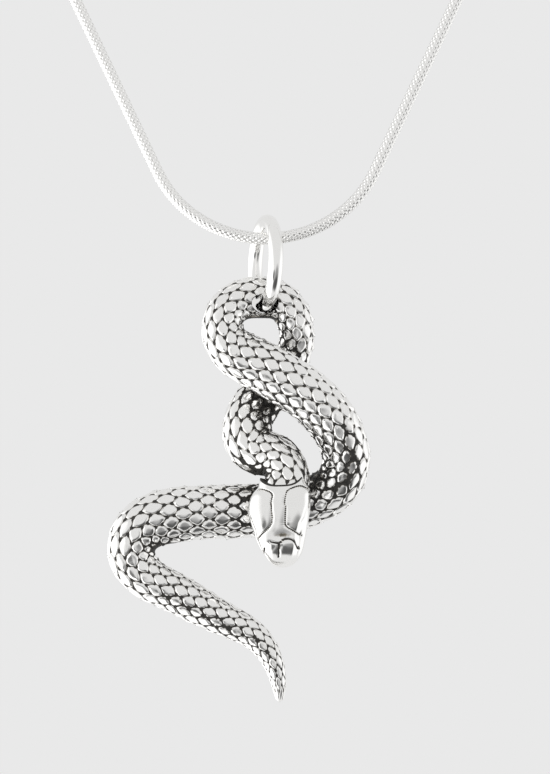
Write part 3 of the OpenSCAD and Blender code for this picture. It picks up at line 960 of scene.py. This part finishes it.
# Openness sets how much painted shade the black adds between the coils.
blockers = [BVHTree.FromBMesh(rod), BVHTree.FromBMesh(head)]
for shape in (rod, head):
    measure_openness(shape, blockers)
# Painted shade and painted dark reflections round listed places, and painted light where the amount
# is negative.
paint_shade_and_light(rod, PAINTED_SHADE_AND_LIGHT)
reach = rod.verts.layers.float["reach"]
mean_reach = sum(point[reach] for point in rod.verts) / len(rod.verts)
print("mean reach on the body:", round(mean_reach, 2))

# %% [markdown]
# ## One casting in four pieces
# The body is one casting, but it is kept as four pieces so that each stays light. They meet
# in the grooves between two rows. The casting's softness comes from subdivision.

# %% Split the body at grooves
# Names, and the rows where they start and end.
BODY_PIECES = [
    ("snake_neck", 0, 14), ("snake_loop", 14, 40), ("snake_coil", 40, 64),
    ("snake_tail", 64, ROWS)]
SMOOTHING = 2


def rows_between(shape, first, last):
    part = shape.copy()
    row_of = part.faces.layers.int["row"]
    out = [face for face in part.faces if not first <= face[row_of] < last]
    bmesh.ops.delete(part, geom=out, context="FACES")
    return part


body_pieces = {}
for name, first, last in BODY_PIECES:
    part = rows_between(rod, first, last)
    body_pieces[name] = make_piece(name, part, scale_silver, "pendant", "snake")
    subdivide(body_pieces[name], SMOOTHING)
rod.free()
make_piece("snake_head", head, head_silver, "pendant", "snake")

# %% [markdown]
# ## Hole for the jump ring
# The hole is drilled through the top of the loop and opened out towards both faces, so that
# the ring's bent wire passes freely. Its walls are bare of scales.

# %% Drill the hole
# Radius in the middle, and how much it grows for every mm of depth up and down.
HOLE_WAIST = 0.83
HOLE_FLARE = 0.11
# It widens more to the sides, where the wire goes when the pendant rocks.
HOLE_SIDE_FLARE = 0.2
# On its front it is worn wider still to the left, and shows the wire on its way to the back.
HOLE_WEAR = 0.36
# The hole curves up towards both faces, as the ring's wire does, by this much per square mm.
HOLE_BOW = 0.09
HOLE_REACH = 4.0
HOLE_STEPS = 9
HOLE_SIDES = 64
# The drill's walls are plain, and the mop reaches a part of them, so they take a little patina and
# painted shade.
HOLE_FINISH = {"relief": 0.9, "reach": 0.8}


def fixed_mesh(piece):
    """Put a piece's modifiers into its mesh."""
    seen = piece.evaluated_get(bpy.context.evaluated_depsgraph_get())
    mesh = bpy.data.meshes.new_from_object(seen)
    piece.modifiers.clear()
    piece.data = mesh


def drill():
    cutter = bmesh.new()
    turned = WIRE_RUN.to_track_quat("Z", "Y").to_matrix().to_4x4()
    bmesh.ops.create_cone(
        cutter, cap_ends=True, segments=HOLE_SIDES, radius1=1, radius2=1, depth=2 * HOLE_REACH)
    long_edges = [edge for edge in cutter.edges if edge.calc_length() > HOLE_REACH]
    bmesh.ops.subdivide_edges(cutter, edges=long_edges, cuts=HOLE_STEPS, use_grid_fill=True)
    for point in cutter.verts:
        depth = abs(point.co.z)
        flare = HOLE_SIDE_FLARE + (HOLE_WEAR if point.co.z > 0 and point.co.x < 0 else 0)
        point.co.x *= HOLE_WAIST + flare * depth
        point.co.y = point.co.y * (HOLE_WAIST + HOLE_FLARE * depth) + HOLE_BOW * depth ** 2
    bmesh.ops.transform(
        cutter, verts=cutter.verts,
        matrix=Matrix.Translation(BAIL) @ turned @ Matrix.Scale(MM, 4))
    check_skin("drill", cutter)
    for label, value in HOLE_FINISH.items():
        layer = cutter.verts.layers.float.new(label)
        for point in cutter.verts:
            point[layer] = value
    return add_object("drill", mesh_from("drill", cutter))


tool = drill()
for piece in body_pieces.values():
    corners = np.array(piece.bound_box) - np.array(BAIL)
    if np.all(corners.min(axis=0) < MM) and np.all(corners.max(axis=0) > -MM):
        fixed_mesh(piece)
        hole = piece.modifiers.new("hole", "BOOLEAN")
        hole.object = tool
        hole.solver = "EXACT"
        hole.operation = "DIFFERENCE"
        fixed_mesh(piece)
        print("drilled", piece.name, "faces:", len(piece.data.polygons))
bpy.data.objects.remove(tool)

# %% [markdown]
# ## Jump ring
# A plain round wire, bent to a ring and soldered shut, so it shows no gap. It hangs almost
# edge on round the chain, turned a little so that its round form shows.

# %% Jump ring
RING_R = 4.15
RING_WIRE_R = 0.75
RING_TURN = radians(14.5)
RING_LEAN = radians(2.5)
RING_STEPS = 160
RING_WIRE_SIDES = 48

ring_middle = BAIL + MM * RING_R * Vector((sin(RING_LEAN), 0, cos(RING_LEAN)))
ring = bmesh.new()
bmesh.ops.create_circle(ring, segments=RING_WIRE_SIDES, radius=RING_WIRE_R)
bmesh.ops.translate(ring, verts=ring.verts, vec=(RING_R, 0, 0))
bmesh.ops.spin(
    ring, geom=ring.verts[:] + ring.edges[:], cent=(0, 0, 0), axis=(0, 1, 0), dvec=(0, 0, 0),
    angle=2 * pi, steps=RING_STEPS, use_merge=True)
stand = Matrix.Rotation(RING_LEAN, 4, "Y") @ Matrix.Rotation(RING_TURN + pi / 2, 4, "Z")
bmesh.ops.transform(
    ring, verts=ring.verts, matrix=Matrix.Translation(ring_middle) @ stand @ Matrix.Scale(MM, 4))
check_skin("ring", ring)
make_piece("jump_ring_wire", ring, wire_silver, "ring", "jump_ring")

# %% [markdown]
# ## Chain
# A snake chain is made of small cupped plates that hook into each other, so from outside it is
# a flexible tube of fine rounded beads, set like bricks. The chain follows the same route as
# its solid: a small bend under the ring, two straight strands over the chest, and an arc over
# the shoulders to the nape. The beads are round rises in the tube's skin. Those near the
# pendant are made of more points.

# %% Route of the chain, in mm
NECKLACE_LENGTH = 457
CLASP_HALF_GAP = 12
BEND_R = 12
STRAND_ANGLE = radians(24.8)
CHEST_SLOPE = radians(75)
NAPE_SLOPE = radians(20)
CHEST_RUN = 70
SHOULDER_RUN = 50
CHAIN_PROBE = 0.05

half_length = NECKLACE_LENGTH / 2
bend_turn = pi / 2 - STRAND_ANGLE
bend_length = BEND_R * bend_turn
bend_x = BEND_R * sin(bend_turn)
bend_q = BEND_R * (1 - cos(bend_turn))
nape_r = (half_length - bend_length + bend_x / sin(STRAND_ANGLE)) / (
    pi / 2 + STRAND_ANGLE + cos(STRAND_ANGLE) / sin(STRAND_ANGLE))
strand_length = (nape_r * cos(STRAND_ANGLE) - bend_x) / sin(STRAND_ANGLE)
nape_q = bend_q + strand_length * cos(STRAND_ANGLE) + nape_r * (1 + sin(STRAND_ANGLE))
shoulder_r = SHOULDER_RUN / (CHEST_SLOPE - NAPE_SLOPE)


def flat_point(length):
    if length < bend_length:
        turn = length / BEND_R
        return BEND_R * sin(turn), BEND_R * (1 - cos(turn))
    if length < bend_length + strand_length:
        run = length - bend_length
        return bend_x + run * sin(STRAND_ANGLE), bend_q + run * cos(STRAND_ANGLE)
    turn = (half_length - length) / nape_r
    return nape_r * sin(turn), nape_q - nape_r * (1 - cos(turn))


def slope_at(q):
    return CHEST_SLOPE - min(max(q - CHEST_RUN, 0), SHOULDER_RUN) / shoulder_r


def worn_side(q):
    """How far back and how far up a height on the flat outline goes when worn."""
    slope = slope_at(q)
    chest, nape = min(q, CHEST_RUN), max(q - CHEST_RUN - SHOULDER_RUN, 0)
    back = chest * cos(CHEST_SLOPE) + shoulder_r * (sin(CHEST_SLOPE) - sin(slope))
    up = chest * sin(CHEST_SLOPE) + shoulder_r * (cos(slope) - cos(CHEST_SLOPE))
    return back + nape * cos(slope), up + nape * sin(slope)


def chain_point(length):
    x, q = flat_point(abs(length))
    back, up = worn_side(q)
    return Vector((copysign(x, length), back, up))


def chain_frame(length):
    along = (chain_point(length + CHAIN_PROBE) - chain_point(length - CHAIN_PROBE)).normalized()
    slope = slope_at(flat_point(abs(length))[1])
    across = along.cross(Vector((0, -sin(slope), cos(slope)))).normalized()
    return chain_point(length), across, across.cross(along)


# %% Beaded skin of the chain
CHAIN_R = 0.625
BEAD_PITCH = 0.56
BEADS_ROUND = 8
BEAD_R = 0.235
CHAIN_END = half_length - CLASP_HALF_GAP
FRONT_BEADS = 84
CHAIN_FRONT = FRONT_BEADS * BEAD_PITCH
# Points for each bead along the chain and round it.
FINE_BEADS = (6, 6)
PLAIN_BEADS = (4, 3)
CHAIN_END_REACH = 2 * MM
CHAIN_END_SHRINK = 0.5


def bead_height(length, turn):
    """Height of the round beads over the chain's core, for arrays of length and angle."""
    width = 2 * pi * CHAIN_R / BEADS_ROUND
    nearest = np.full(length.shape, np.inf)
    for offset in (0.0, 0.5):
        along = (length / BEAD_PITCH + offset + 0.5) % 1 - 0.5
        around = (turn / (2 * pi) * BEADS_ROUND + offset + 0.5) % 1 - 0.5
        nearest = np.minimum(nearest, (along * BEAD_PITCH) ** 2 + (around * width) ** 2)
    return np.sqrt(np.maximum(BEAD_R ** 2 - nearest, 0))


def chain_piece(name, first, last, per_bead, around_bead):
    rows = round((last - first) / BEAD_PITCH * per_bead)
    tube = straight_tube(BEADS_ROUND * around_bead, rows)
    turns, steps = places_on(tube)
    lengths = first + steps / rows * (last - first)
    rise = bead_height(lengths, turns)
    radius = CHAIN_R - BEAD_R + rise
    frames = [chain_frame(first + k / rows * (last - first)) for k in range(rows + 1)]
    row = np.round(steps).astype(int)
    middle, across, up = (np.array([part[k] for part in frames])[row] for k in range(3))
    spots = middle + radius[:, None] * (
        across * np.cos(turns)[:, None] + up * np.sin(turns)[:, None])
    spots = np.array(CHAIN_LOW) + MM * spots
    # The low skin between the beads has little relief, so the chain's black paints shade in the
    # gaps.
    relief = tube.verts.layers.float.new("relief")
    reach = tube.verts.layers.float.new("reach")
    for point, spot, height in zip(tube.verts, spots, rise / BEAD_R):
        point.co = spot
        point[relief] = height
        point[reach] = 1.0
    for end in (first, last):
        middle_of_end = CHAIN_LOW + MM * chain_point(end)
        close_end(tube, middle_of_end, CHAIN_END_REACH, middle_of_end, CHAIN_END_SHRINK)
    check_skin(name, tube)
    make_piece(name, tube, chain_silver, "necklace", "chain")


chain_piece("chain_front", -CHAIN_FRONT, CHAIN_FRONT, *FINE_BEADS)
chain_piece("chain_right", CHAIN_FRONT, CHAIN_END, *PLAIN_BEADS)
chain_piece("chain_left", -CHAIN_END, -CHAIN_FRONT, *PLAIN_BEADS)

# %% [markdown]
# ## Fittings at the nape
# The end caps, the clasp and its ring keep the shape of their solids, because the photograph
# doesn't show them. They get the same bright silver.

# %% Finish of the fittings
for node in ("chain_end_left", "chain_end_right", "clasp", "clasp_ring"):
    fitting = bpy.data.objects[node]
    for material_slot in fitting.material_slots:
        material_slot.material = fitting_silver
    print(node, "finished")

# %% [markdown]
# ## Studio
# The pendant was photographed against pale grey with white all round it. Polished silver shows
# the studio more than itself, so the studio is part of the look: a pale tent, brighter on the
# left and the right, and four dark patches in front and below, where a camera and its stand
# would be.

# %% Pale floor, well below
FLOOR_Z = -0.26
FLOOR_R = 0.6
FLOOR_SIDES = 96
PAPER = (0.8, 0.8, 0.8, 1)
PAPER_ROUGHNESS = 0.9

floor_shape = bmesh.new()
bmesh.ops.create_circle(floor_shape, cap_ends=True, segments=FLOOR_SIDES, radius=FLOOR_R)
bmesh.ops.translate(floor_shape, verts=floor_shape.verts, vec=(0, 0, FLOOR_Z))
ground = add_object("floor", mesh_from("floor", floor_shape))
ground.visible_glossy = False
paper = bpy.data.materials.new("pale paper")
paper.use_nodes = True
set_inputs(paper.node_tree, paper.node_tree.nodes["Principled BSDF"], {
    "Base Color": PAPER, "Roughness": PAPER_ROUGHNESS})
ground.data.materials.append(paper)

# %% Studio around the piece
BACKDROP = 0.815
world = bpy.data.worlds.new("studio")
bpy.context.scene.world = world
world.use_nodes = True
sky = world.node_tree
sky_place = add_node(sky, "ShaderNodeTexCoord")


def soft_patch(direction, inner, outer):
    """1 inside a round patch of the studio, 0 outside; the edges are given in degrees."""
    aim = add_node(sky, "ShaderNodeVectorMath", {
        0: sky_place.outputs["Generated"], 1: Vector(direction).normalized()},
        operation="DOT_PRODUCT")
    patch = add_node(sky, "ShaderNodeMapRange", {
        "Value": aim.outputs["Value"], "From Min": cos(radians(outer)),
        "From Max": cos(radians(inner))}, interpolation_type="SMOOTHSTEP")
    return patch.outputs["Result"]


TENT = 0.8
PATCHES = [
    # direction, inner and outer edge in degrees, brightness inside
    ((0, 0.3, -1), 20, 60, 0.85),
    ((-0.9, -0.05, -0.35), 35, 68, 1.5),
    ((0.95, 0.1, -0.25), 15, 45, 1.15),
    ((0.40, -0.75, -0.53), 8, 34, 0.3),
    ((0.43, -0.51, -0.74), 6, 26, 0.08),
    ((0.06, -0.64, -0.77), 4, 20, 0.11),
    ((-0.27, -0.86, -0.43), 5, 16, 0.16),
]
tent = add_node(sky, "ShaderNodeValue")
tent.outputs[0].default_value = TENT
lit = tent.outputs[0]
for direction, inner, outer, bright in PATCHES:
    mix = add_node(sky, "ShaderNodeMix", {
        "Factor": soft_patch(direction, inner, outer), "A": lit, "B": bright},
        data_type="FLOAT")
    lit = mix.outputs["Result"]
rays = add_node(sky, "ShaderNodeLightPath")
seen = add_node(sky, "ShaderNodeMix", {
    "Factor": rays.outputs["Is Camera Ray"], "A": lit, "B": BACKDROP}, data_type="FLOAT")
set_inputs(sky, sky.nodes["Background"], {"Color": seen.outputs["Result"]})
print("patches in the studio:", len(PATCHES))

# %% One large soft lamp
LAMP_PLACE = CHAIN_LOW + Vector((-0.35, -0.45, 0.5))
LAMP_SIZE = 0.4
LAMP_WATTS = 0.6
lamp = bpy.data.lights.new("soft lamp", "AREA")
lamp.shape = "DISK"
lamp.size = LAMP_SIZE
lamp.energy = LAMP_WATTS
lamp_stand = add_object("soft lamp", lamp)
lamp_stand.location = LAMP_PLACE
lamp_stand.visible_glossy = False
lamp_stand.rotation_euler = (CHAIN_LOW - LAMP_PLACE).to_track_quat("-Z", "Y").to_euler()
bpy.context.scene.view_settings.view_transform = "Standard"
